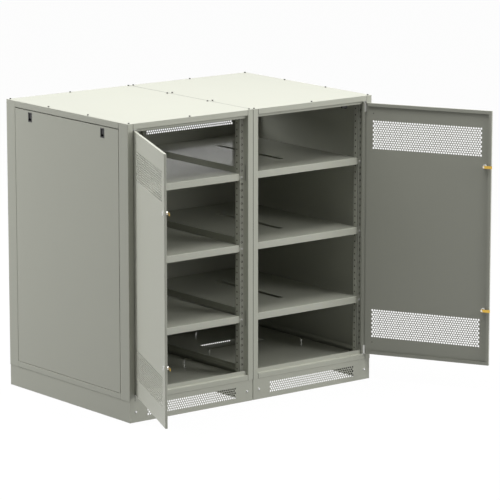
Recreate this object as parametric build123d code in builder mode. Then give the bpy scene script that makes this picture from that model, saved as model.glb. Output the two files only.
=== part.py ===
from build123d import *
import os

# Battery cabinet: two equal bays side by side, each with a plinth, a welded frame, three battery
# shelves, a rear panel, an outer side panel and a hinged front door. +X runs along the front to the
# right, +Y to the rear and +Z up. The origin is on the floor, in the middle of the footprint.

# Overall sizes
bay_width = 934.0
depth = 1264.0
height = 1800.0
plinth_height = 130.0

# Sheet thicknesses and the bend radius on the outer skin
frame_sheet = 2.0
cover_sheet = 1.5
plinth_sheet = 3.0
bend_radius = 3.0

# Corner posts: front face, side face, inner return, the flange with the column of holes, and the
# seat that the side panel lands on
post_face = 39.0
post_side = 93.0
post_return = 47.0
post_flange = 27.0
flange_hole = 9.0
flange_hole_inset = 51.0
flange_hole_pitch = 40.0
flange_first_hole = 224.0
flange_holes = 39
seat_depth = 22.0
post_seat_lip = 20.0

# Rails: height of each outer face, the ledge behind the doors and the lips that stop the covers
top_rail_face = 32.0
sill_face = 33.0
top_side_rail_face = 36.0
bottom_side_rail_face = 36.0
door_ledge = 20.0
top_lip = 18.0
sill_lip = 26.0
rear_lip = 36.0
side_top_lip = 14.0
side_bottom_lip = 23.0
rail_flange = 43.0
floor_flange = 45.0
top_flange = 30.0

# Uprights behind the posts, with a gap that the shelf ears pass through
upright_gap = 5.0
upright_depth = 40.0
upright_foot = 19.0

# Shelves
shelf_levels = 3
shelf_pitch_holes = 11
top_shelf_hole = 29
shelf_above_screw = 24.0
shelf_lip = 42.0
shelf_hem = 15.0
shelf_side_gap = 2.0
ear_reach = 24.0
ear_height = 22.0
shelf_slot_width = 42.0
shelf_slot_length = 645.0

# Perforated bands: holes on a hexagonal grid, drawn here as one slot for each row of holes
hole_diameter = 12.0
hole_pitch = 16.0
row_pitch = 13.86
door_columns = 45
door_rows = 13
door_band_margin = 114.0
plinth_columns = 42
plinth_rows = 5
plinth_band_middle = 64.5

# Doors and rear panels
door_depth = 14.5
door_lip = 20.0
door_gap = 3.5
door_top_gap = 9.0
door_bottom_gap = 5.0
door_edge_radius = 1.2
door_fold_radius = 3.0

# Door hinges: the pin stands in the corner of the door
pin_from_edge = 11.0
pin_from_face = 7.0
pin_radius = 3.0
pin_running_gap = 0.05
pin_hole_gap = 0.3
pin_length = 60.0
pin_collar_radius = 5.0
pin_collar_gap = 0.3
hinge_block_start = 3.0
hinge_block_width = 24.0
hinge_block_height = 56.0
hinge_notch_start = 14.6
hinge_bracket_sheet = 3.0
hinge_bracket_reach = 26.0
hinge_bracket_depth = 13.0
left_door_open = 114.4
right_door_open = 118.0

# Quarter-turn locks, two in each door
lock_from_edge = 42.0
lock_from_end = 346.0
lock_flange_radius = 15.5
lock_flange = 3.0
lock_barrel_radius = 10.0
lock_barrel_length = 27.2
lock_nut_width = 24.0
lock_nut_height = 6.0
lock_hole_gap = 0.2
insert_radius = 7.0
insert_running_gap = 0.05
insert_slot_length = 12.0
insert_slot_width = 3.0
insert_slot_depth = 2.5
insert_square = 7.0
cam_width = 17.0
cam_sheet = 2.5
cam_reach = 52.8
cam_from_face = 27.5
cam_nut_width = 10.0
cam_nut_height = 5.0
catch_length = 100.0
catch_width = 8.0

# Side panels and their slide latches
panel_gap = 3.5
panel_bottom_gap = 3.0
panel_top_gap = 5.0
latch_width = 41.5
latch_height = 61.0
latch_from_panel_edge = 159.0
latch_below_panel_top = 39.0
latch_body = 16.0
latch_pocket_width = 26.0
latch_pocket_height = 44.0
latch_pocket_depth = 12.0
latch_fit = 0.3
thumb_width = 24.0
thumb_height = 26.0
thumb_inset = 3.0
latch_stem_width = 10.0
latch_stem_height = 12.0
latch_travel = 10.0
tongue_width = 30.0
tongue_sheet = 2.0
tongue_overlap = 9.0

# Floor pan with its cable opening and the studs that stand in it
floor_sheet = 2.0
floor_gap = 2.0
floor_pan_depth = 18.0
cable_opening_width = 412.0
cable_opening_depth = 138.0
cable_opening_middle = 178.0
stud_radius = 5.0
stud_rise = 40.0
stud_drop = 8.0
stud_nut_width = 15.0
stud_nut = 8.0
stud_hole_gap = 0.2
left_stud_from_side = 95.0
left_stud_from_front = 568.0
right_stud_from_side = 174.0
right_stud_from_front = 470.0
rear_stud_from_side = 336.0
rear_stud_from_rear = 244.0

# Plinth
plinth_inset = 2.5
plinth_flange = 45.0
grille_flange = 40.0
end_plate_width = 60.0
anchor_hole_radius = 7.0
anchor_from_outside = 27.0
anchor_spacing_y = 1104.0
plinth_bolt_inset = 46.0
plinth_bolt_height = 64.0
bolt_radius = 4.0
bolt_length = 18.0
bolt_head_radius = 7.0
bolt_head = 5.5
bolt_hole_gap = 0.2

# Roof and its screws
roof_sheet = 2.0
roof_seam = 0.5
roof_screw_side_inset = 19.0
roof_screw_end_inset = 17.0
roof_screws_along_side = 4
roof_screw_head = 6.0
screw_radius = 2.5
screw_length = 8.0
screw_head_radius = 5.0
screw_head = 2.0
shelf_screw_head_radius = 7.0
shelf_screw_head = 4.0
screw_hole_gap = 0.2
rear_screw_from_end = 14.0
rear_screw_from_side = 74.5
fastener_sides = 8

# Small contact on the lip of the right bay's front top rail
contact_width = 40.0
contact_depth = 14.0
contact_height = 21.0
contact_edge_radius = 1.0
contact_below_lip = 13.0
contact_from_side = 198.0

# Places that follow from the sizes above
half_bay = bay_width / 2
half_depth = depth / 2
frame_top = height - roof_sheet
opening_width = bay_width - 2 * post_face
door_width = opening_width - 2 * door_gap
door_bottom = plinth_height + sill_face + door_bottom_gap
door_top = frame_top - top_rail_face - door_top_gap
door_height = door_top - door_bottom
door_middle = (door_bottom + door_top) / 2
floor_top = plinth_height + frame_sheet + floor_pan_depth
post_length = frame_top - plinth_height
side_length = depth - 2 * post_side
upright_length = frame_top - top_side_rail_face - side_top_lip - floor_top
upright_web_inset = post_face + post_flange
upright_front = post_return + frame_sheet + upright_gap
band_offset = door_height / 2 - door_band_margin - (door_rows - 1) / 2 * row_pitch
lock_offset = door_height / 2 - lock_from_end
half_shelf = half_bay - upright_web_inset - shelf_side_gap
half_shelf_depth = half_depth - post_return - frame_sheet
bottom_seat = plinth_height + bottom_side_rail_face
top_seat = frame_top - top_side_rail_face
panel_bottom = bottom_seat + panel_bottom_gap
panel_top = top_seat - panel_top_gap
screw_levels = [
    flange_first_hole + flange_hole_pitch * (top_shelf_hole - shelf_pitch_holes * level)
    for level in range(shelf_levels)
]
shelf_tops = [level + shelf_above_screw for level in screw_levels]
rear_plane = Plane((0, half_depth, door_middle), x_dir=(-1, 0, 0), z_dir=(0, 1, 0))


def folded_section(points, sheet=frame_sheet):
    """Section of a bent sheet: points run along its outer skin, with the metal on their left."""
    with BuildSketch() as section:
        with BuildLine():
            FilletPolyline(*points, radius=bend_radius)
            offset(amount=sheet, side=Side.LEFT)
        make_face()
    return section.sketch


def perforated_band(columns, rows, middle=(0, 0)):
    """Slots of a perforated band, one for each row, with every second row half a pitch shorter."""
    with BuildSketch() as band:
        for row in range(rows):
            shorter = hole_pitch if row % 2 else 0
            length = (columns - 1) * hole_pitch + hole_diameter - shorter
            up = (row - (rows - 1) / 2) * row_pitch
            with Locations((middle[0], middle[1] + up)):
                Rectangle(length, hole_diameter)
    return band.sketch


def door_bands():
    """The lower and the upper perforated band of a door or rear panel, about its middle."""
    with BuildSketch() as bands:
        add(perforated_band(door_columns, door_rows, (0, -band_offset)))
        add(perforated_band(door_columns, door_rows, (0, band_offset)))
    return bands.sketch


def shank(radius, mode=Mode.ADD):
    """Outline of a small fastener or of its hole: an octagon across its flats."""
    return RegularPolygon(radius, fastener_sides, major_radius=False, mode=mode)


def roof_screw_outlines(radius):
    """Fastener outlines at the places of the roof screws of one bay."""
    along = (depth - 2 * roof_screw_end_inset) / (roof_screws_along_side - 1)
    with BuildSketch() as outlines:
        with GridLocations(bay_width - 2 * roof_screw_side_inset, along, 2, roof_screws_along_side):
            shank(radius)
        with GridLocations(0, depth - 2 * roof_screw_end_inset, 1, 2):
            shank(radius)
    return outlines.sketch


def rear_screw_outlines(radius):
    """Fastener outlines at the places of the four screws of a rear panel, about its middle."""
    across = door_width - 2 * rear_screw_from_side
    with BuildSketch() as outlines:
        with GridLocations(across, door_height - 2 * rear_screw_from_end, 2, 2):
            shank(radius)
    return outlines.sketch


# Plinth sides: a channel along each side, closed at both ends by a plate for the grille bolts
channel = folded_section(
    [
        (plinth_inset + plinth_flange, plinth_height),
        (plinth_inset, plinth_height),
        (plinth_inset, 0),
        (plinth_inset + plinth_flange, 0),
    ],
    plinth_sheet,
)
grille_back = half_depth - plinth_inset - cover_sheet
channel_plane = Plane((-half_bay, grille_back, 0), x_dir=(1, 0, 0), z_dir=(0, -1, 0))
with BuildPart() as plinth_sides:
    with BuildSketch(channel_plane):
        add(channel)
    extrude(amount=2 * grille_back)
    with BuildSketch(channel_plane):
        with Locations((plinth_inset + end_plate_width / 2, plinth_height / 2)):
            Rectangle(end_plate_width, plinth_height)
        with Locations((plinth_bolt_inset, plinth_bolt_height)):
            shank(bolt_radius + bolt_hole_gap, Mode.SUBTRACT)
    end_plate = extrude(amount=plinth_sheet)
    mirror(end_plate, about=Plane.XZ)
    with BuildSketch():
        with Locations((anchor_from_outside - half_bay, 0)):
            with GridLocations(0, anchor_spacing_y, 1, 2):
                Circle(anchor_hole_radius)
    extrude(amount=plinth_sheet, mode=Mode.SUBTRACT)
    mirror(about=Plane.YZ)

# Plinth grille: a panel over the whole bay, with flanges that fit between the side channels
grille_width = bay_width - 2 * plinth_inset
between_channels = bay_width - 2 * (plinth_inset + end_plate_width) - 2 * panel_gap
grille_plane = Plane.XZ.offset(half_depth - plinth_inset)
with BuildPart() as plinth_front:
    with BuildSketch(grille_plane):
        with Locations((0, plinth_height / 2)):
            Rectangle(grille_width, plinth_height)
        add(perforated_band(plinth_columns, plinth_rows, (0, plinth_band_middle)), mode=Mode.SUBTRACT)
        with Locations((0, plinth_bolt_height)):
            with GridLocations(bay_width - 2 * plinth_bolt_inset, 0, 2, 1):
                shank(bolt_radius + bolt_hole_gap, Mode.SUBTRACT)
    extrude(amount=-cover_sheet)
    with BuildSketch(grille_plane):
        with Locations((0, cover_sheet / 2), (0, plinth_height - cover_sheet / 2)):
            Rectangle(between_channels, cover_sheet)
    extrude(amount=-grille_flange)

# Plinth bolts, through each grille into the end plates of the channels
with BuildPart() as plinth_bolts:
    with BuildSketch(grille_plane):
        with Locations((0, plinth_bolt_height)):
            with GridLocations(bay_width - 2 * plinth_bolt_inset, 0, 2, 1):
                shank(bolt_head_radius)
    extrude(amount=bolt_head)
    chamfer(edges().group_by(Axis.Y)[0], length=bolt_head / 2)
    with BuildSketch(grille_plane):
        with Locations((0, plinth_bolt_height)):
            with GridLocations(bay_width - 2 * plinth_bolt_inset, 0, 2, 1):
                shank(bolt_radius)
    extrude(amount=-bolt_length)
    mirror(about=Plane.XZ)

# Front posts: folded round the corner, with a return beside the door, a flange with a column of
# holes behind it and a seat for the side panel. The return has a slot for the cam of each lock.
post = folded_section(
    [
        (seat_depth, post_side + post_seat_lip),
        (seat_depth, post_side),
        (0, post_side),
        (0, 0),
        (post_face, 0),
        (post_face, post_return),
        (post_face + post_flange, post_return),
    ]
)
post_plane = Plane((-half_bay, -half_depth, plinth_height))
catch_plane = Plane((-half_bay + post_face, -half_depth, 0), x_dir=(0, 1, 0), z_dir=(1, 0, 0))
with BuildPart() as front_posts:
    with BuildSketch(post_plane):
        add(post)
    extrude(amount=post_length)
    with BuildSketch(post_plane, post_plane.offset(post_length - frame_sheet)):
        with Locations((frame_sheet, frame_sheet)):
            Rectangle(
                post_face - 2 * frame_sheet,
                post_side - 2 * frame_sheet,
                align=(Align.MIN, Align.MIN),
            )
    extrude(amount=frame_sheet)
    with BuildSketch(post_plane):
        with Locations((seat_depth - bend_radius, post_side)):
            Rectangle(
                bend_radius + 2 * frame_sheet,
                post_seat_lip + frame_sheet,
                align=(Align.MIN, Align.MIN),
            )
    extrude(amount=bottom_side_rail_face + side_bottom_lip, mode=Mode.SUBTRACT)
    with BuildSketch(post_plane.offset(post_length)):
        with Locations((seat_depth - bend_radius, post_side)):
            Rectangle(
                bend_radius + 2 * frame_sheet,
                post_seat_lip + frame_sheet,
                align=(Align.MIN, Align.MIN),
            )
    extrude(amount=-(top_side_rail_face + side_top_lip), mode=Mode.SUBTRACT)
    with BuildSketch(Plane.XY.offset(frame_top)):
        add(roof_screw_outlines(screw_radius + screw_hole_gap))
    extrude(amount=-frame_sheet, mode=Mode.SUBTRACT)
    with BuildSketch(Plane.XZ.offset(half_depth - post_return)):
        with Locations(
            (flange_hole_inset - half_bay, flange_first_hole + flange_hole_pitch * (flange_holes - 1) / 2)
        ):
            with GridLocations(0, flange_hole_pitch, 1, flange_holes):
                Rectangle(flange_hole, flange_hole)
    extrude(amount=-frame_sheet, mode=Mode.SUBTRACT)
    with BuildSketch(catch_plane):
        with Locations(
            (cam_from_face + cam_sheet / 2, door_middle - lock_offset),
            (cam_from_face + cam_sheet / 2, door_middle + lock_offset),
        ):
            Rectangle(catch_width, catch_length)
    extrude(amount=-2 * frame_sheet, mode=Mode.SUBTRACT)
    mirror(about=Plane.YZ)

# Top rails: front and rear rails carry the roof and stop the door or rear panel with a lip
def top_rail_section(face, ledge, lip):
    return folded_section(
        [
            (ledge, frame_top - face - lip),
            (ledge, frame_top - face),
            (0, frame_top - face),
            (0, frame_top),
            (max(top_flange, ledge), frame_top),
        ][::-1]
    )


with BuildPart() as top_rails:
    with BuildSketch(Plane((post_face - half_bay, -half_depth, 0), x_dir=(0, 1, 0), z_dir=(1, 0, 0))):
        add(top_rail_section(top_rail_face, door_ledge, top_lip))
    extrude(amount=opening_width)
    with BuildSketch(Plane((half_bay - post_face, half_depth, 0), x_dir=(0, -1, 0), z_dir=(-1, 0, 0))):
        add(top_rail_section(top_rail_face, door_ledge, rear_lip))
    extrude(amount=opening_width)
    with BuildSketch(Plane((-half_bay, half_depth - post_side, 0), x_dir=(1, 0, 0), z_dir=(0, -1, 0))):
        add(top_rail_section(top_side_rail_face, seat_depth, side_top_lip))
    side_rail = extrude(amount=side_length)
    mirror(side_rail, about=Plane.YZ)
    with BuildSketch(Plane.XY.offset(frame_top)):
        add(roof_screw_outlines(screw_radius + screw_hole_gap))
    extrude(amount=-frame_sheet, mode=Mode.SUBTRACT)
    with BuildSketch(rear_plane.offset(-door_ledge)):
        add(rear_screw_outlines(screw_radius + screw_hole_gap))
    extrude(amount=-frame_sheet, mode=Mode.SUBTRACT)

# Bottom rails: the same forms upside down, with an inward flange that carries the floor pan
def bottom_rail_section(face, ledge, lip, flange):
    return folded_section(
        [
            (ledge, plinth_height + face + lip),
            (ledge, plinth_height + face),
            (0, plinth_height + face),
            (0, plinth_height),
            (flange, plinth_height),
        ]
    )


with BuildPart() as bottom_rails:
    with BuildSketch(Plane((post_face - half_bay, -half_depth, 0), x_dir=(0, 1, 0), z_dir=(1, 0, 0))):
        add(bottom_rail_section(sill_face, door_ledge, sill_lip, rail_flange))
    extrude(amount=opening_width)
    with BuildSketch(Plane((half_bay - post_face, half_depth, 0), x_dir=(0, -1, 0), z_dir=(-1, 0, 0))):
        add(bottom_rail_section(sill_face, door_ledge, rear_lip, rail_flange))
    extrude(amount=opening_width)
    with BuildSketch(Plane((-half_bay, half_depth - post_side, 0), x_dir=(1, 0, 0), z_dir=(0, -1, 0))):
        add(bottom_rail_section(bottom_side_rail_face, seat_depth, side_bottom_lip, floor_flange))
    side_rail = extrude(amount=side_length)
    mirror(side_rail, about=Plane.YZ)
    with BuildSketch(rear_plane.offset(-door_ledge)):
        add(rear_screw_outlines(screw_radius + screw_hole_gap))
    extrude(amount=-frame_sheet, mode=Mode.SUBTRACT)

# Roof: one flat sheet for each bay, held by screws round its edge
with BuildPart() as roof:
    with BuildSketch(Plane.XY.offset(frame_top)):
        Rectangle(bay_width - roof_seam, depth)
        add(roof_screw_outlines(screw_radius + screw_hole_gap), mode=Mode.SUBTRACT)
    extrude(amount=roof_sheet)

with BuildPart() as roof_screws:
    with BuildSketch(Plane.XY.offset(height - screw_length)):
        add(roof_screw_outlines(screw_radius))
    extrude(amount=screw_length)
    with BuildSketch(Plane.XY.offset(height)):
        add(roof_screw_outlines(screw_head_radius))
    extrude(amount=roof_screw_head)

# Floor pan: a tray turned upside down that stands on the side rails, with a cable opening
studs_at = [
    (left_stud_from_side - half_bay, left_stud_from_front - half_depth),
    (half_bay - right_stud_from_side, right_stud_from_front - half_depth),
    (rear_stud_from_side - half_bay, half_depth - rear_stud_from_rear),
]
half_floor = half_bay - seat_depth - frame_sheet - floor_gap
half_floor_depth = half_depth - post_return - frame_sheet - floor_gap
with BuildPart() as floor_pan:
    with BuildSketch(Plane.XY.offset(floor_top - floor_pan_depth)):
        Rectangle(2 * half_floor, 2 * half_floor_depth)
    extrude(amount=floor_pan_depth)
    fillet(edges().group_by(Axis.Z)[-1], radius=bend_radius)
    with BuildSketch(Plane.XY.offset(floor_top - floor_pan_depth)):
        Rectangle(2 * (half_floor - floor_sheet), 2 * (half_floor_depth - floor_sheet))
    extrude(amount=floor_pan_depth - floor_sheet, mode=Mode.SUBTRACT)
    with BuildSketch(Plane.XY.offset(floor_top)):
        with Locations((0, cable_opening_middle)):
            Rectangle(cable_opening_width, cable_opening_depth)
        with Locations(*studs_at):
            shank(stud_radius + stud_hole_gap)
    extrude(amount=-floor_sheet, mode=Mode.SUBTRACT)

# Studs: each stands through the floor pan, with a nut on the pan and one at its top
with BuildPart() as floor_studs:
    with BuildSketch(Plane.XY.offset(floor_top - stud_drop)):
        with Locations(*studs_at):
            shank(stud_radius)
    extrude(amount=stud_drop + stud_rise)
    with BuildSketch(Plane.XY.offset(floor_top), Plane.XY.offset(floor_top + stud_rise)):
        with Locations(*studs_at):
            RegularPolygon(stud_nut_width / 2, 6, major_radius=False)
    extrude(amount=stud_nut)

# Uprights: a folded section behind each post, with its face in line with the edge of the post's
# flange and its foot against the seat lip
upright = folded_section(
    [
        (upright_web_inset, upright_front),
        (upright_web_inset, upright_front + upright_depth),
        (seat_depth + 2 * frame_sheet, upright_front + upright_depth),
        (seat_depth + 2 * frame_sheet, upright_front + upright_depth + upright_foot),
    ]
)
with BuildPart() as uprights:
    with BuildSketch(Plane((-half_bay, -half_depth, floor_top))):
        add(upright)
    extrude(amount=upright_length)
    mirror(about=Plane.YZ)
    mirror(about=Plane.XZ)

# Shelf screws, through a hole in the flange of each post into the ear of the shelf
with BuildPart() as shelf_screws:
    with BuildSketch(Plane.XZ.offset(half_depth - post_return)):
        for level in screw_levels:
            with Locations((0, level)):
                with GridLocations(bay_width - 2 * flange_hole_inset, 0, 2, 1):
                    RegularPolygon(shelf_screw_head_radius, 6)
    extrude(amount=shelf_screw_head)
    with BuildSketch(Plane.XZ.offset(half_depth - post_return)):
        for level in screw_levels:
            with Locations((0, level)):
                with GridLocations(bay_width - 2 * flange_hole_inset, 0, 2, 1):
                    shank(screw_radius)
    extrude(amount=-screw_length)
    mirror(about=Plane.XZ)

# Shelf: a tray turned upside down, with hems along its front and rear, a cable slot down its middle
# and four ears that reach behind the flanges of the posts
ear_plane = Plane.XZ.offset(half_shelf_depth)
with BuildPart() as shelf:
    with BuildSketch(Plane.XY.offset(-shelf_lip)):
        Rectangle(2 * half_shelf, 2 * half_shelf_depth)
    extrude(amount=shelf_lip)
    fillet(edges().group_by(Axis.Z)[-1], radius=bend_radius)
    with BuildSketch(Plane.XY.offset(frame_sheet - shelf_lip)):
        Rectangle(2 * (half_shelf - frame_sheet), 2 * (half_shelf_depth - frame_sheet))
    extrude(amount=shelf_lip - 2 * frame_sheet, mode=Mode.SUBTRACT)
    with BuildSketch(Plane.XY.offset(-shelf_lip)):
        Rectangle(2 * (half_shelf - frame_sheet), 2 * (half_shelf_depth - shelf_hem))
    extrude(amount=frame_sheet, mode=Mode.SUBTRACT)
    with BuildSketch():
        Rectangle(shelf_slot_width, shelf_slot_length)
    extrude(amount=-frame_sheet, mode=Mode.SUBTRACT)
    with BuildSketch(ear_plane):
        with Locations((0, -shelf_above_screw)):
            Rectangle(2 * (half_shelf + ear_reach), ear_height)
            Rectangle(2 * (half_shelf - frame_sheet), ear_height, mode=Mode.SUBTRACT)
            with GridLocations(bay_width - 2 * flange_hole_inset, 0, 2, 1):
                shank(screw_radius + screw_hole_gap, Mode.SUBTRACT)
    ears = extrude(amount=-frame_sheet)
    mirror(ears, about=Plane.XZ)

# Rear panel: a flanged pan between the rear posts, screwed to the lips of the rear rails
with BuildPart() as rear_panel:
    with BuildSketch(rear_plane):
        Rectangle(door_width, door_height)
    extrude(amount=-door_ledge)
    with BuildSketch(rear_plane.offset(-cover_sheet)):
        Rectangle(door_width - 2 * cover_sheet, door_height - 2 * cover_sheet)
    extrude(amount=cover_sheet - door_ledge, mode=Mode.SUBTRACT)
    with BuildSketch(rear_plane):
        add(door_bands())
        add(rear_screw_outlines(screw_radius + screw_hole_gap))
    extrude(amount=-cover_sheet, mode=Mode.SUBTRACT)

with BuildPart() as rear_screws:
    with BuildSketch(rear_plane):
        add(rear_screw_outlines(screw_head_radius))
    extrude(amount=screw_head)
    with BuildSketch(rear_plane):
        add(rear_screw_outlines(screw_radius))
    extrude(amount=-(door_ledge + 2 * frame_sheet))

# Left side panel: a flanged pan that lands on the seats of the posts and rails, with two latches
panel_length = side_length - 2 * panel_gap
panel_height = panel_top - panel_bottom
latch_spacing = panel_length - 2 * latch_from_panel_edge
latch_middle = panel_top - latch_below_panel_top
side_plane = Plane((-half_bay, 0, 0), x_dir=(0, -1, 0), z_dir=(-1, 0, 0))
with BuildPart() as side_panel:
    with BuildSketch(side_plane):
        with Locations((0, panel_bottom)):
            Rectangle(panel_length, panel_height, align=(Align.CENTER, Align.MIN))
    extrude(amount=-seat_depth)
    with BuildSketch(side_plane.offset(-cover_sheet)):
        with Locations((0, panel_bottom + cover_sheet)):
            Rectangle(
                panel_length - 2 * cover_sheet,
                panel_height - 2 * cover_sheet,
                align=(Align.CENTER, Align.MIN),
            )
    extrude(amount=cover_sheet - seat_depth, mode=Mode.SUBTRACT)
    with BuildSketch(side_plane):
        with Locations((0, latch_middle)):
            with GridLocations(latch_spacing, 0, 2, 1):
                Rectangle(latch_width, latch_height)
    extrude(amount=-cover_sheet, mode=Mode.SUBTRACT)

# Latch housings: a box let into the panel, with a pocket for the thumb slide and a slot behind it
stem_slot_height = latch_stem_height + latch_travel + 2 * latch_fit
stem_middle = (thumb_height - latch_stem_height) / 2
with BuildPart() as latch_housings:
    with BuildSketch(side_plane):
        with Locations((0, latch_middle)):
            with GridLocations(latch_spacing, 0, 2, 1):
                Rectangle(latch_width - 2 * latch_fit, latch_height - 2 * latch_fit)
    extrude(amount=-latch_body)
    with BuildSketch(side_plane):
        with Locations((0, latch_middle)):
            with GridLocations(latch_spacing, 0, 2, 1):
                Rectangle(latch_pocket_width, latch_pocket_height)
    extrude(amount=-latch_pocket_depth, mode=Mode.SUBTRACT)
    with BuildSketch(side_plane):
        with Locations((0, latch_middle)):
            with GridLocations(latch_spacing, 0, 2, 1):
                Rectangle(latch_stem_width + 2 * latch_fit, stem_slot_height)
    extrude(amount=-latch_body, mode=Mode.SUBTRACT)

# Latch slides: thumb piece, stem and the tongue behind the rail lip, one solid for each latch.
# They slide down by the travel to free the panel.
thumb_depth = latch_pocket_depth - thumb_inset - latch_fit
tongue_from_face = seat_depth + frame_sheet + latch_fit
tongue_top = top_seat - side_top_lip + tongue_overlap


def latch_slide(along):
    """Slide of one latch, at a place along the side plane."""
    with BuildPart() as slide:
        with BuildSketch(side_plane.offset(-thumb_inset)):
            with Locations((along, latch_middle + latch_travel / 2)):
                Rectangle(thumb_width, thumb_height)
        extrude(amount=-thumb_depth)
        with BuildSketch(side_plane.offset(-thumb_inset)):
            with Locations((along, latch_middle + latch_travel / 2)):
                Rectangle(latch_stem_width, latch_stem_height)
        extrude(amount=thumb_inset - tongue_from_face)
        with BuildSketch(side_plane.offset(-tongue_from_face)):
            with Locations((along, latch_middle - latch_stem_height)):
                Rectangle(
                    tongue_width,
                    tongue_top - latch_middle + latch_stem_height,
                    align=(Align.CENTER, Align.MIN),
                )
        extrude(amount=-tongue_sheet)
    return slide.part


# Hinge brackets and pins, modelled on the left post of a bay. The lower bracket lies on the sill and
# the upper one under the top rail. A collar on each pin fills the gap between bracket and door.
pin_x = post_face + door_gap + pin_from_edge - half_bay
pin_y = pin_from_face - half_depth
lower_bracket = plinth_height + sill_face
upper_bracket = frame_top - top_rail_face
with BuildPart() as hinge_brackets:
    with BuildSketch(
        Plane.XY.offset(lower_bracket),
        Plane.XY.offset(upper_bracket - hinge_bracket_sheet),
    ):
        with Locations((post_face - half_bay, pin_y)):
            Rectangle(hinge_bracket_reach, hinge_bracket_depth, align=(Align.MIN, Align.CENTER))
        with Locations((pin_x, pin_y)):
            Circle(pin_radius + pin_running_gap, mode=Mode.SUBTRACT)
    extrude(amount=hinge_bracket_sheet)

with BuildPart() as hinge_pins:
    with BuildSketch(Plane.XY.offset(lower_bracket), Plane.XY.offset(upper_bracket - pin_length)):
        with Locations((pin_x, pin_y)):
            Circle(pin_radius)
    extrude(amount=pin_length)
    with BuildSketch(Plane.XY.offset(lower_bracket + hinge_bracket_sheet)):
        with Locations((pin_x, pin_y)):
            Circle(pin_collar_radius)
    extrude(amount=door_bottom_gap - hinge_bracket_sheet - pin_collar_gap)
    with BuildSketch(Plane.XY.offset(door_top + pin_collar_gap)):
        with Locations((pin_x, pin_y)):
            Circle(pin_collar_radius)
    extrude(amount=door_top_gap - hinge_bracket_sheet - pin_collar_gap)

# Door contact: a small box on the back of the lip of the front top rail, near the hinge side
lip_back = door_ledge + frame_sheet - half_depth
with BuildPart() as door_contact:
    with BuildSketch(Plane.XY.offset(frame_top - top_rail_face - top_lip - contact_below_lip)):
        with Locations((half_bay - contact_from_side, lip_back)):
            Rectangle(contact_width, contact_depth, align=(Align.CENTER, Align.MIN))
    extrude(amount=contact_height)
    fillet(edges().group_by(Axis.Z)[0], radius=contact_edge_radius)

# Door, in its own frame: the hinge axis is Z, +X runs to the free edge and the skin faces -Y
door_plane = Plane(
    (door_width / 2 - pin_from_edge, -pin_from_face, door_middle), x_dir=(1, 0, 0), z_dir=(0, -1, 0)
)
lock_x = door_width - pin_from_edge - lock_from_edge
lock_places = [(door_width / 2 - lock_from_edge, up) for up in (-lock_offset, lock_offset)]
with BuildPart() as door:
    with BuildSketch(door_plane):
        Rectangle(door_width, door_height)
    extrude(amount=-door_depth)
    fillet(edges().filter_by(Axis.Z).group_by(Axis.Y)[-1], radius=door_fold_radius)
    fillet(edges().group_by(Axis.Y)[0], radius=door_edge_radius)
    with BuildSketch(door_plane.offset(-cover_sheet)):
        Rectangle(door_width - 2 * cover_sheet, door_height - 2 * cover_sheet)
    extrude(amount=2 * cover_sheet - door_depth, mode=Mode.SUBTRACT)
    with BuildSketch(door_plane.offset(-cover_sheet)):
        Rectangle(door_width - 2 * door_lip, door_height - 2 * door_lip)
        with Locations(
            (hinge_notch_start - door_width / 2, (door_height - hinge_block_height) / 2),
            (hinge_notch_start - door_width / 2, (hinge_block_height - door_height) / 2),
        ):
            Rectangle(door_lip, hinge_block_height - 2 * cover_sheet, align=(Align.MIN, Align.CENTER))
    extrude(amount=cover_sheet - door_depth, mode=Mode.SUBTRACT)
    with BuildSketch(door_plane):
        add(door_bands())
        with Locations(*lock_places):
            Circle(lock_barrel_radius + lock_hole_gap)
    extrude(amount=-cover_sheet, mode=Mode.SUBTRACT)
    with BuildSketch(Plane.XY.offset(door_bottom)):
        Circle(pin_radius + pin_hole_gap)
    extrude(amount=door_height, mode=Mode.SUBTRACT)

# Hinge blocks, fixed in the two corners of the door, each bored for its pin
block_from_pin = hinge_block_start - pin_from_edge
with BuildPart() as hinge_blocks:
    with BuildSketch(
        Plane.XY.offset(door_bottom + cover_sheet),
        Plane.XY.offset(door_top - hinge_block_height + cover_sheet),
    ):
        with Locations((block_from_pin, cover_sheet - pin_from_face)):
            Rectangle(hinge_block_width, door_depth - 2 * cover_sheet, align=(Align.MIN, Align.MIN))
        Circle(pin_radius + pin_running_gap, mode=Mode.SUBTRACT)
    extrude(amount=hinge_block_height - 2 * cover_sheet)

# Lock housings: a round flange on the skin, a barrel through the door and a hexagon nut behind the skin
with BuildPart() as lock_housings:
    with BuildSketch(door_plane):
        with Locations(*lock_places):
            Circle(lock_flange_radius)
    extrude(amount=lock_flange)
    chamfer(edges().group_by(Axis.Y)[0], length=lock_flange / 3)
    with BuildSketch(door_plane):
        with Locations(*lock_places):
            Circle(lock_barrel_radius)
    extrude(amount=-lock_barrel_length)
    with BuildSketch(door_plane.offset(-cover_sheet)):
        with Locations(*lock_places):
            RegularPolygon(lock_nut_width / 2, 6, major_radius=False)
    extrude(amount=-lock_nut_height)
    with BuildSketch(door_plane.offset(lock_flange)):
        with Locations(*lock_places):
            Circle(insert_radius + insert_running_gap)
    extrude(amount=-lock_flange - lock_barrel_length, mode=Mode.SUBTRACT)


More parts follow.
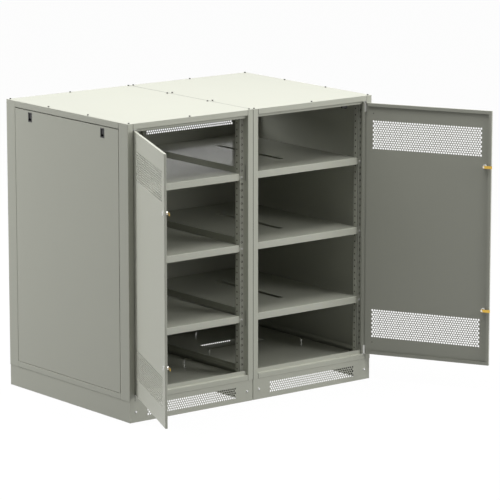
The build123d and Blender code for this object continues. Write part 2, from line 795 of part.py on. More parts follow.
def lock_parts(up):
    """Insert, cam and nut of the lock at a height above the door's middle: they turn together."""
    lock_plane = Plane((lock_x, -pin_from_face, door_middle + up), x_dir=(1, 0, 0), z_dir=(0, -1, 0))
    with BuildPart() as insert:
        with BuildSketch(lock_plane.offset(lock_flange)):
            Circle(insert_radius)
        extrude(amount=-lock_flange - cam_from_face)
        with BuildSketch(lock_plane.offset(lock_flange)):
            Rectangle(insert_slot_width, insert_slot_length)
        extrude(amount=-insert_slot_depth, mode=Mode.SUBTRACT)
        with BuildSketch(lock_plane.offset(-cam_from_face)):
            Rectangle(insert_square, insert_square)
        extrude(amount=-cam_sheet)
    with BuildPart() as cam:
        with BuildSketch(lock_plane.offset(-cam_from_face)):
            Circle(cam_width / 2)
            Rectangle(cam_reach, cam_width, align=(Align.MIN, Align.CENTER))
            Rectangle(insert_square, insert_square, mode=Mode.SUBTRACT)
        extrude(amount=-cam_sheet)
    with BuildPart() as nut:
        with BuildSketch(lock_plane.offset(-cam_from_face - cam_sheet)):
            RegularPolygon(cam_nut_width / 2, 6, major_radius=False)
        extrude(amount=-cam_nut_height)
    turning = Compound(insert.part.solids() + nut.part.solids())
    return {"lock_insert": turning, "lock_cam": cam.part}


# Writing: each bay is a copy about its own middle, and the right bay is the mirror of the left one
os.makedirs("parts", exist_ok=True)


def write(name, piece):
    piece.label = name
    export_step(piece, f"parts/{name}.step")


same_in_both_bays = {
    "plinth_sides": plinth_sides.part,
    "plinth_front_grille": plinth_front.part,
    "plinth_rear_grille": mirror(plinth_front.part, about=Plane.XZ),
    "front_posts": front_posts.part,
    "rear_posts": mirror(front_posts.part, about=Plane.XZ),
    "top_rails": top_rails.part,
    "bottom_rails": bottom_rails.part,
    "roof": roof.part,
    "floor_pan": floor_pan.part,
    "uprights": uprights.part,
    "rear_panel": rear_panel.part,
}
for level, top in zip(("upper", "middle", "lower"), shelf_tops):
    same_in_both_bays[f"{level}_shelf"] = Pos(0, 0, top) * shelf.part

fixed_handed = {
    "side_panel": side_panel.part,
    "front_latch_slide": latch_slide(latch_spacing / 2),
    "rear_latch_slide": latch_slide(-latch_spacing / 2),
}
swinging_handed = {"door": door.part, "hinge_blocks": hinge_blocks.part, "lock_housings": lock_housings.part}
for place, up in (("lower", -lock_offset), ("upper", lock_offset)):
    for name, piece in lock_parts(up).items():
        swinging_handed[f"{place}_{name}"] = piece

for bay, middle, opened in (("left", -half_bay, -left_door_open), ("right", half_bay, right_door_open)):
    for name, piece in same_in_both_bays.items():
        write(f"{bay}_{name}", Pos(middle, 0, 0) * piece)
    for name, piece in fixed_handed.items():
        handed = piece if bay == "left" else mirror(piece, about=Plane.YZ)
        write(f"{bay}_{name}", Pos(middle, 0, 0) * handed)
    hinge_x = middle + (pin_x if bay == "left" else -pin_x)
    for name, piece in swinging_handed.items():
        handed = piece if bay == "left" else mirror(piece, about=Plane.YZ)
        write(f"{bay}_{name}", Pos(hinge_x, pin_y, 0) * Rot(0, 0, opened) * handed)

shared_pieces = {
    "plinth_bolts": plinth_bolts.part,
    "roof_screws": roof_screws.part,
    "shelf_screws": shelf_screws.part,
    "rear_screws": rear_screws.part,
    "floor_studs": floor_studs.part,
}
shared_handed = {
    "latch_housings": latch_housings.part,
    "hinge_brackets": hinge_brackets.part,
    "hinge_pins": hinge_pins.part,
}
for name, piece in shared_pieces.items():
    both = [Pos(middle, 0, 0) * piece for middle in (-half_bay, half_bay)]
    write(name, Compound([solid for side in both for solid in side.solids()]))
for name, piece in shared_handed.items():
    left = Pos(-half_bay, 0, 0) * piece
    write(name, Compound(left.solids() + mirror(left, about=Plane.YZ).solids()))
write("door_contact", Pos(half_bay, 0, 0) * door_contact.part)
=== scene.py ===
import bpy
import math
from mathutils import Matrix, Vector


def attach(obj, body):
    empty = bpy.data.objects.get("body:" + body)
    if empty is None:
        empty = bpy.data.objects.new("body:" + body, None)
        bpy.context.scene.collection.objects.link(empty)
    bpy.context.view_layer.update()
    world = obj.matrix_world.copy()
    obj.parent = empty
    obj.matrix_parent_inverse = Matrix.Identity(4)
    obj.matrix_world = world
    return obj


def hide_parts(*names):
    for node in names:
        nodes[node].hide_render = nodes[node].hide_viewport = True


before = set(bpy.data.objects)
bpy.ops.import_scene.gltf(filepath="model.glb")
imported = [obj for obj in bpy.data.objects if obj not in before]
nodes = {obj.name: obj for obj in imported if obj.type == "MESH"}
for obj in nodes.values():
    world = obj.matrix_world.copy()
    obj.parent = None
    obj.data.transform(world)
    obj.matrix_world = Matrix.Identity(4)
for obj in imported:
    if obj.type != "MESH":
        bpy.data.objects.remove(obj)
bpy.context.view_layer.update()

# Stage: a white floor, a white world that lights more from above, and the camera at the photograph's
# angle. One soft lamp hangs above, and two unseen ones stand in front and behind.
bpy.context.scene.view_settings.view_transform = "Standard"


def deselect_all():
    bpy.ops.object.select_all(action="DESELECT")


deselect_all()
bpy.ops.object.camera_add(
    location=(-11.987, -15.817, 4.805),
    rotation=(math.radians(78.696), 0, math.radians(-38.2296)),
)
camera = bpy.context.object
camera.data.sensor_width = 36.0
camera.data.lens = 234.2
camera.data.clip_end = 200.0
bpy.context.scene.camera = camera

world = bpy.data.worlds.new("tent")
bpy.context.scene.world = world
world.use_nodes = True
sky = world.node_tree
sky.nodes.clear()
sky_out = sky.nodes.new("ShaderNodeOutputWorld")
sky_mix = sky.nodes.new("ShaderNodeMixShader")
sky_seen = sky.nodes.new("ShaderNodeBackground")
sky_light = sky.nodes.new("ShaderNodeBackground")
sky_path = sky.nodes.new("ShaderNodeLightPath")
sky_way = sky.nodes.new("ShaderNodeTexCoord")
sky_height = sky.nodes.new("ShaderNodeSeparateXYZ")
sky_ramp = sky.nodes.new("ShaderNodeValToRGB")
sky_ramp.color_ramp.elements[0].color = (0.34, 0.34, 0.34, 1)
sky_ramp.color_ramp.elements[1].color = (1, 1, 1, 1)
sky_seen.inputs["Color"].default_value = (1, 1, 1, 1)
sky_seen.inputs["Strength"].default_value = 1.0
sky_light.inputs["Strength"].default_value = 0.64
sky.links.new(sky_way.outputs["Generated"], sky_height.inputs["Vector"])
sky.links.new(sky_height.outputs["Z"], sky_ramp.inputs["Fac"])
sky.links.new(sky_ramp.outputs["Color"], sky_light.inputs["Color"])
seen_ray = sky_path.outputs["Is Camera Ray"]
for ray in ("Is Transmission Ray", "Is Glossy Ray"):
    either = sky.nodes.new("ShaderNodeMath")
    either.operation = "MAXIMUM"
    sky.links.new(seen_ray, either.inputs[0])
    sky.links.new(sky_path.outputs[ray], either.inputs[1])
    seen_ray = either.outputs[0]
sky.links.new(seen_ray, sky_mix.inputs["Fac"])
sky.links.new(sky_light.outputs[0], sky_mix.inputs[1])
sky.links.new(sky_seen.outputs[0], sky_mix.inputs[2])
sky.links.new(sky_mix.outputs[0], sky_out.inputs["Surface"])

deselect_all()
bpy.ops.object.light_add(type="AREA", location=(0, -1.0, 6.5))
top_lamp = bpy.context.object
top_lamp.name = "top_lamp"
top_lamp.data.size = 5.0
top_lamp.data.energy = 375.0

lamp_away = 7.0
for name, azimuth, energy in (("front_lamp", -62, 235.0), ("rear_lamp", 115, 560.0)):
    deselect_all()
    around = math.radians(azimuth)
    bpy.ops.object.light_add(
        type="AREA",
        location=(lamp_away * math.cos(around), lamp_away * math.sin(around), 3.6),
    )
    side_lamp = bpy.context.object
    side_lamp.name = name
    side_lamp.data.size = 3.0
    side_lamp.data.energy = energy
    side_lamp.visible_camera = False
    side_lamp.visible_glossy = False
    toward = Vector((0, 0, 0.9)) - side_lamp.location
    side_lamp.rotation_euler = toward.to_track_quat("-Z", "Y").to_euler()

deselect_all()
bpy.ops.mesh.primitive_plane_add(size=60.0, location=(0, 0, -0.0005))
floor = bpy.context.object
floor.name = "studio_floor"
floor_paint = bpy.data.materials.new("studio_floor")
floor_paint.use_nodes = True
floor_tree = floor_paint.node_tree
floor_tree.nodes.clear()
floor_out = floor_tree.nodes.new("ShaderNodeOutputMaterial")
floor_path = floor_tree.nodes.new("ShaderNodeLightPath")
floor_mix = floor_tree.nodes.new("ShaderNodeMixShader")
floor_seen = floor_tree.nodes.new("ShaderNodeMixShader")
floor_grey = floor_tree.nodes.new("ShaderNodeBsdfDiffuse")
floor_white = floor_tree.nodes.new("ShaderNodeBsdfDiffuse")
floor_glow = floor_tree.nodes.new("ShaderNodeEmission")
floor_grey.inputs["Color"].default_value = (0.22, 0.22, 0.22, 1)
floor_white.inputs["Color"].default_value = (0.9, 0.9, 0.9, 1)
floor_glow.inputs["Strength"].default_value = 1.0
floor_seen.inputs["Fac"].default_value = 0.96
floor_tree.links.new(floor_white.outputs[0], floor_seen.inputs[1])
floor_tree.links.new(floor_glow.outputs[0], floor_seen.inputs[2])
floor_ray = floor_tree.nodes.new("ShaderNodeMath")
floor_ray.operation = "MAXIMUM"
floor_tree.links.new(floor_path.outputs["Is Camera Ray"], floor_ray.inputs[0])
floor_tree.links.new(floor_path.outputs["Is Glossy Ray"], floor_ray.inputs[1])
floor_tree.links.new(floor_ray.outputs[0], floor_mix.inputs["Fac"])
floor_tree.links.new(floor_grey.outputs[0], floor_mix.inputs[1])
floor_tree.links.new(floor_seen.outputs[0], floor_mix.inputs[2])
floor_tree.links.new(floor_mix.outputs[0], floor_out.inputs["Surface"])
floor.data.materials.append(floor_paint)


# Painted sheet steel: every folded sheet of the cabinet has the same satin grey powder coat, with a
# fine orange peel and a tone that drifts a little. The group gives its colour, roughness and height.
def powder_coat_group():
    group = bpy.data.node_groups.new("powder_coat", "ShaderNodeTree")
    group.interface.new_socket("Colour", in_out="INPUT", socket_type="NodeSocketColor")
    group.interface.new_socket("Colour", in_out="OUTPUT", socket_type="NodeSocketColor")
    group.interface.new_socket("Roughness", in_out="OUTPUT", socket_type="NodeSocketFloat")
    group.interface.new_socket("Height", in_out="OUTPUT", socket_type="NodeSocketFloat")
    n = group.nodes
    link = group.links.new
    start = n.new("NodeGroupInput")
    end = n.new("NodeGroupOutput")
    place = n.new("ShaderNodeTexCoord")
    peel = n.new("ShaderNodeTexNoise")
    peel.inputs["Scale"].default_value = 900.0
    peel.inputs["Detail"].default_value = 3.0
    patch = n.new("ShaderNodeTexNoise")
    patch.inputs["Scale"].default_value = 2.3
    patch.inputs["Detail"].default_value = 4.0
    link(place.outputs["Object"], peel.inputs["Vector"])
    link(place.outputs["Object"], patch.inputs["Vector"])
    tone = n.new("ShaderNodeMapRange")
    tone.inputs["To Min"].default_value = 0.975
    tone.inputs["To Max"].default_value = 1.02
    link(patch.outputs["Fac"], tone.inputs["Value"])
    shade = n.new("ShaderNodeMix")
    shade.data_type = "RGBA"
    shade.blend_type = "MULTIPLY"
    shade.inputs["Factor"].default_value = 1.0
    grey = n.new("ShaderNodeCombineColor")
    for channel in ("Red", "Green", "Blue"):
        link(tone.outputs["Result"], grey.inputs[channel])
    link(start.outputs["Colour"], shade.inputs["A"])
    link(grey.outputs["Color"], shade.inputs["B"])
    link(shade.outputs["Result"], end.inputs["Colour"])
    rough = n.new("ShaderNodeMapRange")
    rough.inputs["To Min"].default_value = 0.36
    rough.inputs["To Max"].default_value = 0.46
    link(patch.outputs["Fac"], rough.inputs["Value"])
    link(rough.outputs["Result"], end.inputs["Roughness"])
    link(peel.outputs["Fac"], end.inputs["Height"])
    return group


powder_coat = powder_coat_group()
coat_colour = (0.405, 0.412, 0.350)


def painted(name):
    """A paint with the powder coat's colour, peel and tone."""
    paint = bpy.data.materials.new(name)
    paint.use_nodes = True
    tree = paint.node_tree
    shader = tree.nodes["Principled BSDF"]
    coat = tree.nodes.new("ShaderNodeGroup")
    coat.node_tree = powder_coat
    coat.inputs["Colour"].default_value = (*coat_colour, 1)
    bump_node = tree.nodes.new("ShaderNodeBump")
    bump_node.inputs["Strength"].default_value = 0.06
    bump_node.inputs["Distance"].default_value = 0.0006
    tree.links.new(coat.outputs["Colour"], shader.inputs["Base Color"])
    tree.links.new(coat.outputs["Roughness"], shader.inputs["Roughness"])
    tree.links.new(coat.outputs["Height"], bump_node.inputs["Height"])
    tree.links.new(bump_node.outputs["Normal"], shader.inputs["Normal"])
    return paint


grey_paint = painted("grey_paint")


def give(node, material):
    """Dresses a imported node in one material."""
    obj = nodes[node]
    for slot in obj.material_slots:
        slot.material = material
    if not obj.material_slots:
        obj.data.materials.append(material)


def darkened(paint, mask, shade):
    """Multiplies a paint's colour by a shade where a mask socket is 1."""
    tree = paint.node_tree
    shader = tree.nodes["Principled BSDF"]
    colour = shader.inputs["Base Color"].links[0].from_socket
    mix = tree.nodes.new("ShaderNodeMix")
    mix.data_type = "RGBA"
    mix.blend_type = "MULTIPLY"
    mix.inputs["B"].default_value = (shade, shade, shade, 1)
    tree.links.new(mask, mix.inputs["Factor"])
    tree.links.new(colour, mix.inputs["A"])
    tree.links.new(mix.outputs["Result"], shader.inputs["Base Color"])


def across(tree, axis, middle, half_width):
    """Mask socket: 1 within half a width of the planes at plus and minus a distance along an axis."""
    place = tree.nodes.new("ShaderNodeTexCoord")
    split = tree.nodes.new("ShaderNodeSeparateXYZ")
    tree.links.new(place.outputs["Object"], split.inputs["Vector"])
    size = tree.nodes.new("ShaderNodeMath")
    size.operation = "ABSOLUTE"
    tree.links.new(split.outputs[axis], size.inputs[0])
    near = tree.nodes.new("ShaderNodeMath")
    near.operation = "COMPARE"
    near.inputs[1].default_value = middle
    near.inputs[2].default_value = half_width
    tree.links.new(size.outputs[0], near.inputs[0])
    return near.outputs[0]


shelf_paint = painted("shelf_paint")
shelf_roughness = shelf_paint.node_tree.nodes["Principled BSDF"].inputs["Roughness"]
shelf_paint.node_tree.links.remove(shelf_roughness.links[0])
shelf_roughness.default_value = 0.14
roof_paint = painted("roof_paint")
# The dark line along the seam between the two roofs is partly a sealing strip and partly painted shade in
# the gap.
darkened(roof_paint, across(roof_paint.node_tree, "X", 0.0, 0.0026), 0.06)
rail_paint = painted("rail_paint")
darkened(rail_paint, across(rail_paint.node_tree, "X", 0.895, 0.002), 0.12)
darkened(rail_paint, across(rail_paint.node_tree, "X", 0.039, 0.002), 0.12)

painted_pieces = (
    "plinth_sides", "plinth_front_grille", "plinth_rear_grille", "floor_pan", "rear_panel", "side_panel",
)
for bay in ("left", "right"):
    for piece in painted_pieces:
        give(f"{bay}_{piece}", grey_paint)
    give(f"{bay}_roof", roof_paint)
    for level in ("upper", "middle", "lower"):
        give(f"{bay}_{level}_shelf", shelf_paint)
    give(f"{bay}_top_rails", rail_paint)
    give(f"{bay}_bottom_rails", rail_paint)

# Doors: folded and coated like the other sheets, and hung on two pins each. The faces that are turned
# inward carry a painted shade, darker than the rest of the coat.
door_paints = {}
left_opened = -114.4
right_opened = 118.0
for bay, inward in (("left", 90 + left_opened), ("right", 90 + right_opened)):
    coat = painted(f"{bay}_door_paint")
    place = coat.node_tree.nodes.new("ShaderNodeTexCoord")
    facing = coat.node_tree.nodes.new("ShaderNodeVectorMath")
    facing.operation = "DOT_PRODUCT"
    facing.inputs[1].default_value = (math.cos(math.radians(inward)), math.sin(math.radians(inward)), 0)
    inward_shade = coat.node_tree.nodes.new("ShaderNodeMath")
    inward_shade.operation = "GREATER_THAN"
    inward_shade.inputs[1].default_value = 0.8
    coat.node_tree.links.new(place.outputs["Normal"], facing.inputs[0])
    coat.node_tree.links.new(facing.outputs["Value"], inward_shade.inputs[0])
    # Painted shade: faces turned inward are darkened to 0.72 of the coat's colour.
    darkened(coat, inward_shade.outputs[0], 0.72)
    door_paints[bay] = coat
    give(f"{bay}_door", coat)

# Posts and uprights: folded sheet with columns of round punchings. Painted shade darkens a ring round each
# hole of the post flanges, the upright's face behind it and the inside face of the upright's fold. The
# upright's own punchings are painted as dark discs of painted shade, in a column of the same pitch.
bay_middle = 0.467
column_inset = 0.051
half_pitch = 0.02


def separate_place(tree):
    """The object coordinates of a paint, one socket for each axis."""
    place = tree.nodes.new("ShaderNodeTexCoord")
    split = tree.nodes.new("ShaderNodeSeparateXYZ")
    tree.links.new(place.outputs["Object"], split.inputs["Vector"])
    return split.outputs


def calculated(tree, operation, first, second):
    """Result socket of a math node with a socket first, and a socket or a number second."""
    node = tree.nodes.new("ShaderNodeMath")
    node.operation = operation
    tree.links.new(first, node.inputs[0])
    if isinstance(second, float):
        node.inputs[1].default_value = second
    else:
        tree.links.new(second, node.inputs[1])
    return node.outputs[0]


def round_marks(tree, sideways, height, first, radius):
    """Mask socket: 1 in circles round the holes of a column, from the way off the column's middle and
    the height of the first hole."""
    raised = calculated(tree, "SUBTRACT", height, first)
    join = tree.nodes.new("ShaderNodeCombineXYZ")
    tree.links.new(sideways, join.inputs["X"])
    tree.links.new(calculated(tree, "PINGPONG", raised, half_pitch), join.inputs["Y"])
    reach = tree.nodes.new("ShaderNodeVectorMath")
    reach.operation = "LENGTH"
    tree.links.new(join.outputs[0], reach.inputs[0])
    return calculated(tree, "LESS_THAN", reach.outputs["Value"], radius)


def flange_holes(tree, radius, deep, half_depth):
    """Mask socket: 1 round each hole of the post flanges, on faces at a depth in front and behind."""
    place = separate_place(tree)
    from_side = calculated(tree, "PINGPONG", place["X"], bay_middle)
    sideways = calculated(tree, "SUBTRACT", from_side, column_inset)
    circles = round_marks(tree, sideways, place["Z"], 0.224, radius)
    on_face = calculated(tree, "MULTIPLY", circles, across(tree, "Y", deep, half_depth))
    return calculated(tree, "MULTIPLY", on_face, across(tree, "Z", 0.984, 0.768))


post_paint = painted("post_paint")
# Painted shade: a dark ring round each hole of the post flanges.
darkened(post_paint, flange_holes(post_paint.node_tree, 0.0066, 0.584, 0.003), 0.05)
darkened(post_paint, across(post_paint.node_tree, "X", 0.0, 0.0018), 0.12)

upright_paint = painted("upright_paint")
tree = upright_paint.node_tree
place = separate_place(tree)
size = tree.nodes.new("ShaderNodeMath")
size.operation = "ABSOLUTE"
tree.links.new(place["Y"], size.inputs[0])
web_sideways = calculated(tree, "SUBTRACT", size.outputs[0], 0.556)
# Painted shade: dark discs stand for the upright's own punchings, which are not cut.
darkened(upright_paint, round_marks(tree, web_sideways, place["Z"], 0.034, 0.005), 0.03)
# Painted shade: the inside face of the upright's fold is darkened.
darkened(upright_paint, across(tree, "Y", 0.5405, 0.001), 0.05)
# Painted shade: the upright's faces behind the post flange holes are darkened round each hole.
darkened(upright_paint, flange_holes(tree, 0.009, 0.570, 0.020), 0.03)
for bay in ("left", "right"):
    give(f"{bay}_front_posts", post_paint)
    give(f"{bay}_rear_posts", post_paint)
    give(f"{bay}_uprights", upright_paint)


# Zinc-plated steel: screws, bolts, studs, pins, brackets and lock bodies. The plating has a fine
# spangle that shifts its tone and roughness from spot to spot.
def plated(name, colour, rough_low, rough_high, scale, metallic=1.0):
    plate = bpy.data.materials.new(name)
    plate.use_nodes = True
    tree = plate.node_tree
    shader = tree.nodes["Principled BSDF"]
    shader.inputs["Metallic"].default_value = metallic
    place = tree.nodes.new("ShaderNodeTexCoord")
    spangle = tree.nodes.new("ShaderNodeTexVoronoi")
    spangle.inputs["Scale"].default_value = scale
    tree.links.new(place.outputs["Object"], spangle.inputs["Vector"])
    tone = tree.nodes.new("ShaderNodeMix")
    tone.data_type = "RGBA"
    tone.inputs["A"].default_value = (*[c * 0.82 for c in colour], 1)
    tone.inputs["B"].default_value = (*colour, 1)
    tree.links.new(spangle.outputs["Distance"], tone.inputs["Factor"])
    tree.links.new(tone.outputs["Result"], shader.inputs["Base Color"])
    rough = tree.nodes.new("ShaderNodeMapRange")
    rough.inputs["To Min"].default_value = rough_low
    rough.inputs["To Max"].default_value = rough_high
    tree.links.new(spangle.outputs["Distance"], rough.inputs["Value"])
    tree.links.new(rough.outputs["Result"], shader.inputs["Roughness"])
    return plate


bright_zinc = plated("bright_zinc", (0.88, 0.88, 0.87), 0.16, 0.30, 260.0)
# A lighter, less metallic copy of the zinc: a painted highlight that makes the domed heads read white.
zinc_painted_highlight = plated("zinc_painted_highlight", (0.95, 0.95, 0.94), 0.16, 0.30, 260.0, metallic=0.4)
yellow_zinc = plated("yellow_zinc", (0.78, 0.50, 0.10), 0.25, 0.40, 320.0)
hinge_steel = plated("hinge_steel", (0.62, 0.62, 0.60), 0.30, 0.45, 200.0)
dark_steel_and_painted_shade = plated("dark_steel_and_painted_shade", (0.16, 0.16, 0.15), 0.35, 0.50, 260.0)
# The roof screws' dark steel is painted shade that makes their heads show as dark dots.
for piece, plating in (
    ("plinth_bolts", bright_zinc), ("shelf_screws", bright_zinc), ("rear_screws", bright_zinc),
    ("floor_studs", bright_zinc), ("roof_screws", dark_steel_and_painted_shade), ("hinge_brackets", hinge_steel),
    ("hinge_pins", hinge_steel),
):
    give(piece, plating)
for bay in ("left", "right"):
    give(f"{bay}_hinge_blocks", hinge_steel)
    give(f"{bay}_lock_housings", bright_zinc)
    for place in ("upper", "lower"):
        give(f"{bay}_{place}_lock_insert", bright_zinc)
        give(f"{bay}_{place}_lock_cam", yellow_zinc)


# Moulded plastic: latch housings, their slides and the door contact are black and the latch rims
# dark grey, with a fine grain from the mould.
def moulded(name, colour):
    plastic = bpy.data.materials.new(name)
    plastic.use_nodes = True
    tree = plastic.node_tree
    shader = tree.nodes["Principled BSDF"]
    place = tree.nodes.new("ShaderNodeTexCoord")
    grain = tree.nodes.new("ShaderNodeTexNoise")
    grain.inputs["Scale"].default_value = 1500.0
    grain.inputs["Detail"].default_value = 2.0
    tree.links.new(place.outputs["Object"], grain.inputs["Vector"])
    tone = tree.nodes.new("ShaderNodeMix")
    tone.data_type = "RGBA"
    tone.inputs["A"].default_value = (*[c * 0.7 for c in colour], 1)
    tone.inputs["B"].default_value = (*[c * 1.4 for c in colour], 1)
    tree.links.new(grain.outputs["Fac"], tone.inputs["Factor"])
    tree.links.new(tone.outputs["Result"], shader.inputs["Base Color"])
    rough = tree.nodes.new("ShaderNodeMapRange")
    rough.inputs["To Min"].default_value = 0.38
    rough.inputs["To Max"].default_value = 0.55
    tree.links.new(grain.outputs["Fac"], rough.inputs["Value"])
    tree.links.new(rough.outputs["Result"], shader.inputs["Roughness"])
    bump = tree.nodes.new("ShaderNodeBump")
    bump.inputs["Strength"].default_value = 0.15
    bump.inputs["Distance"].default_value = 0.0003
    tree.links.new(grain.outputs["Fac"], bump.inputs["Height"])
    tree.links.new(bump.outputs["Normal"], shader.inputs["Normal"])
    return plastic


black_plastic = moulded("black_plastic", (0.018, 0.018, 0.018))
latch_grey = moulded("latch_grey", (0.16, 0.16, 0.15))
give("latch_housings", black_plastic)
give("door_contact", black_plastic)
for bay in ("left", "right"):
    for place in ("front", "rear"):
        give(f"{bay}_{place}_latch_slide", black_plastic)

# Perforated bands: the sheet between neighbouring holes of a row is a small web with hollow sides,
# punched out of the same piece as the sheet round it. One web is made and repeated along every row of
# the doors, rear panels and plinth grilles.
hole_radius = 0.006
hole_pitch = 0.016
row_pitch = 0.01386
web_sheet = 0.0015


def one_web(name):
    """A web between two holes, about its middle. The row runs along X, the sheet's face is at Y 0
    and the metal lies behind it."""
    deselect_all()
    bpy.ops.mesh.primitive_grid_add(x_subdivisions=2, y_subdivisions=10, size=1.0)
    web = bpy.context.object
    web.name = name
    for v in web.data.vertices:
        up = v.co.y * 2 * hole_radius
        reach = hole_pitch / 2 - math.sqrt(max(hole_radius**2 - up**2, 0))
        v.co = Vector((v.co.x * 2 * reach, 0, up))
    bpy.ops.object.mode_set(mode="EDIT")
    bpy.ops.mesh.select_all(action="SELECT")
    bpy.ops.mesh.remove_doubles(threshold=0.00001)
    bpy.ops.mesh.select_all(action="SELECT")
    bpy.ops.mesh.extrude_region_move(TRANSFORM_OT_translate={"value": (0, web_sheet, 0)})
    bpy.ops.mesh.select_all(action="SELECT")
    bpy.ops.mesh.normals_make_consistent(inside=False)
    bpy.ops.object.mode_set(mode="OBJECT")
    return web


def copies_along(web, count, step):
    """Repeats a web in a line with an array, applied."""
    deselect_all()
    web.select_set(True)
    bpy.context.view_layer.objects.active = web
    array = web.modifiers.new("row", "ARRAY")
    array.count = count
    array.use_relative_offset = False
    array.use_constant_offset = True
    array.constant_offset_displace = step
    bpy.ops.object.modifier_apply(modifier="row")


def web_band(name, columns, rows):
    """All webs of one band about its middle: rows of whole webs, every second row one hole shorter."""
    parts = []
    for shorter in (0, 1):
        holes = columns - shorter
        row_count = (rows + 1 - shorter) // 2
        low = (-(rows - 1) / 2 + shorter) * row_pitch
        web = one_web(f"{name}_{shorter}")
        web.data.transform(Matrix.Translation((-(holes - 2) / 2 * hole_pitch, 0, low)))
        copies_along(web, holes - 1, (hole_pitch, 0, 0))
        copies_along(web, row_count, (0, 0, 2 * row_pitch))
        parts.append(web)
    deselect_all()
    for part in parts:
        part.select_set(True)
    bpy.context.view_layer.objects.active = parts[0]
    bpy.ops.object.join()
    band = bpy.context.object
    band.name = name
    return band


def placed_copy(source, name, move, body, paint=grey_paint):
    """A copy of a finished piece with its place in its mesh, riding on a body."""
    piece = source.copy()
    piece.data = source.data.copy()
    piece.name = name
    bpy.context.collection.objects.link(piece)
    piece.data.transform(move)
    piece.data.materials.append(paint)
    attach(piece, body)


# Door bands: two in each door, punched in its painted skin. The doors stand open, so each band is
# turned about its door's hinge into its place.
hinge_x = 0.8805
hinge_y = -0.625
door_middle = 0.9625
band_height = 0.59716
door_half = 0.849 / 2 - 0.011
band_from_pin = 0.007
door_band = web_band("door_band", 45, 13)
door_turns = {}
for bay, side, opened in (("left", -1, left_opened), ("right", 1, right_opened)):
    hinge = Matrix.Translation((side * hinge_x, hinge_y, 0))
    turn = hinge @ Matrix.Rotation(math.radians(opened), 4, "Z")
    door_turns[bay] = turn
    for level, up in (("lower", -band_height), ("upper", band_height)):
        local = Matrix.Translation((-side * door_half, -band_from_pin, door_middle + up))
        placed_copy(door_band, f"{bay}_{level}_door_band", turn @ local, f"{bay}_door", door_paints[bay])

# Rear bands: the same perforation in both painted rear panels, with the sheet's face to the rear. A
# thin cover sheet fixed inside the panel closes the lower band, as no light comes through it.
outer_face = 0.632
for bay, side in (("left", -1), ("right", 1)):
    for level, up in (("lower", -band_height), ("upper", band_height)):
        local = Matrix.Translation((side * bay_middle, outer_face - web_sheet, door_middle + up))
        placed_copy(door_band, f"{bay}_{level}_rear_band", local, "cabinet")
    deselect_all()
    bpy.ops.mesh.primitive_cube_add(size=1.0)
    cover = bpy.context.object
    cover.name = f"{bay}_rear_band_cover"
    cover.data.transform(
        Matrix.Translation((side * bay_middle, outer_face - web_sheet - 0.0005, door_middle - band_height))
        @ Matrix.Diagonal((0.74, 0.001, 0.20, 1))
    )
    cover.data.materials.append(grey_paint)
    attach(cover, "cabinet")
bpy.data.objects.remove(door_band)

# Plinth bands: the same webs in the front and rear plinth grilles, punched and painted like the doors.
# The rear one has its metal in front of the face.
grille_face = 0.6295
plinth_band = web_band("plinth_band", 42, 5)
for bay, side in (("left", -1), ("right", 1)):
    for level, y in (("front", -grille_face), ("rear", grille_face - web_sheet)):
        local = Matrix.Translation((side * bay_middle, y, 0.0645))
        placed_copy(plinth_band, f"{bay}_{level}_plinth_band", local, "cabinet")
bpy.data.objects.remove(plinth_band)

# Door rivets: dark steel, with a low domed head on both sides of the skin, above and below the bands
# at the hinge side. Each is a flattened ball set through the skin.
rivet_radius = 0.0042
for bay, side in (("left", -1), ("right", 1)):
    turn = door_turns[bay]
    rivets = []
    for up in (0.244, 1.693):
        deselect_all()
        bpy.ops.mesh.primitive_uv_sphere_add(segments=32, ring_count=16, radius=rivet_radius)
        rivet = bpy.context.object
        rivet.data.transform(
            turn
            @ Matrix.Translation((-side * 0.060, -0.00625, up))
            @ Matrix.Diagonal((1, 0.5, 1, 1))
        )
        rivet.data.materials.append(dark_steel_and_painted_shade)
        rivets.append(rivet)
    deselect_all()
    for rivet in rivets:
        rivet.select_set(True)
    bpy.context.view_layer.objects.active = rivets[0]
    bpy.ops.object.join()
    bpy.context.object.name = f"{bay}_door_rivets"
    bpy.ops.object.shade_smooth_by_angle(angle=math.radians(60))
    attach(bpy.context.object, f"{bay}_door")

# Latch rims: a thin grey frame moulded round each black housing. It stands proud of the side panel,
# on the face of the housing.
panel_face = 0.934
rim_sheet = 0.0006
for bay, side in (("left", -1), ("right", 1)):
    for place, y in (("front", -0.3765), ("rear", 0.3765)):
        deselect_all()
        bpy.ops.mesh.primitive_plane_add(size=1.0)
        rim = bpy.context.object
        rim.name = f"{bay}_{place}_latch_rim"
        upright = Matrix.Rotation(math.pi / 2, 4, "Y")
        rim.data.transform(upright @ Matrix.Diagonal((0.060, 0.0405, 1, 1)))
        bpy.ops.object.mode_set(mode="EDIT")
        bpy.ops.mesh.select_all(action="SELECT")
        bpy.ops.mesh.inset(thickness=0.003, use_boundary=True)
        bpy.ops.mesh.delete(type="FACE")
        bpy.ops.mesh.select_all(action="SELECT")
        bpy.ops.mesh.extrude_region_move(TRANSFORM_OT_translate={"value": (side * rim_sheet, 0, 0)})
        bpy.ops.mesh.select_all(action="SELECT")
        bpy.ops.mesh.normals_make_consistent(inside=False)
        bpy.ops.object.mode_set(mode="OBJECT")
        rim.data.transform(Matrix.Translation((side * panel_face, y, 1.7180)))
        rim.data.materials.append(latch_grey)
        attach(rim, "cabinet")
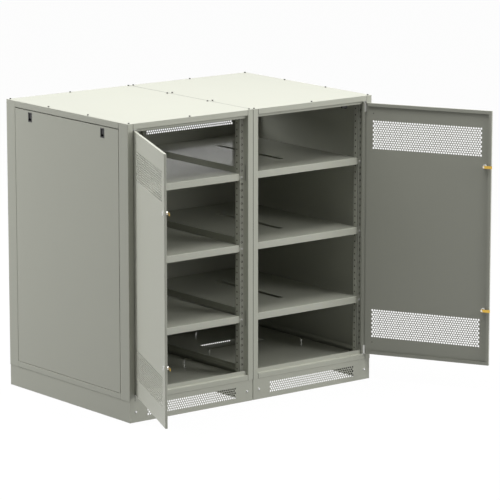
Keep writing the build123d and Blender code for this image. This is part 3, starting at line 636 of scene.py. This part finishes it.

# Plinth bolts and shelf screws: round domed heads of zinc-plated steel, each with a socket in its top, in
# a lighter, less metallic zinc that is a painted highlight. One head is turned for each size and stands in
# every place where the part has a fastener.
def domed_head(radius, height):
    """A domed head with a round socket, on its seat at Z 0."""
    deselect_all()
    bpy.ops.mesh.primitive_cylinder_add(vertices=36, radius=radius, depth=height, location=(0, 0, 0))
    head = bpy.context.object
    head.data.transform(Matrix.Translation((0, 0, height / 2)))
    for polygon in head.data.polygons:
        polygon.select = polygon.normal.z > 0.9
    bpy.ops.object.mode_set(mode="EDIT")
    bpy.ops.mesh.bevel(offset=height * 0.62, segments=5, affect="EDGES")
    bpy.ops.object.mode_set(mode="OBJECT")
    for polygon in head.data.polygons:
        polygon.select = polygon.normal.z > 0.99
    bpy.ops.object.mode_set(mode="EDIT")
    bpy.ops.mesh.inset(thickness=radius * 0.2)
    bpy.ops.mesh.extrude_region_move(TRANSFORM_OT_translate={"value": (0, 0, -height * 0.45)})
    bpy.ops.object.mode_set(mode="OBJECT")
    bpy.ops.object.shade_smooth_by_angle(angle=math.radians(40))
    return head


for name, radius, height, back, from_side, levels in (
    ("plinth_bolts", 0.007, 0.0055, outer_face - grille_face, 0.046, (0.064,)),
    ("shelf_screws", 0.0065, 0.004, 0.047, column_inset, (0.504, 0.944, 1.384)),
):
    head = domed_head(radius, height)
    places = [
        (side * x, face, z)
        for side in (-1, 1)
        for x in (from_side, 2 * bay_middle - from_side)
        for face in (-1, 1)
        for z in levels
    ]
    copies = []
    for x, face, z in places:
        copy = head.copy()
        copy.data = head.data.copy()
        bpy.context.collection.objects.link(copy)
        seat = Matrix.Translation((x, face * (outer_face - back), z))
        copy.data.transform(seat @ Matrix.Rotation(-face * math.pi / 2, 4, "X"))
        copies.append(copy)
    bpy.data.objects.remove(head)
    deselect_all()
    for copy in copies:
        copy.select_set(True)
    bpy.context.view_layer.objects.active = copies[0]
    bpy.ops.object.join()
    heads = bpy.context.object
    heads.name = f"{name}_heads"
    heads.data.materials.append(zinc_painted_highlight)
    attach(heads, "cabinet")
    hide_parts(name)
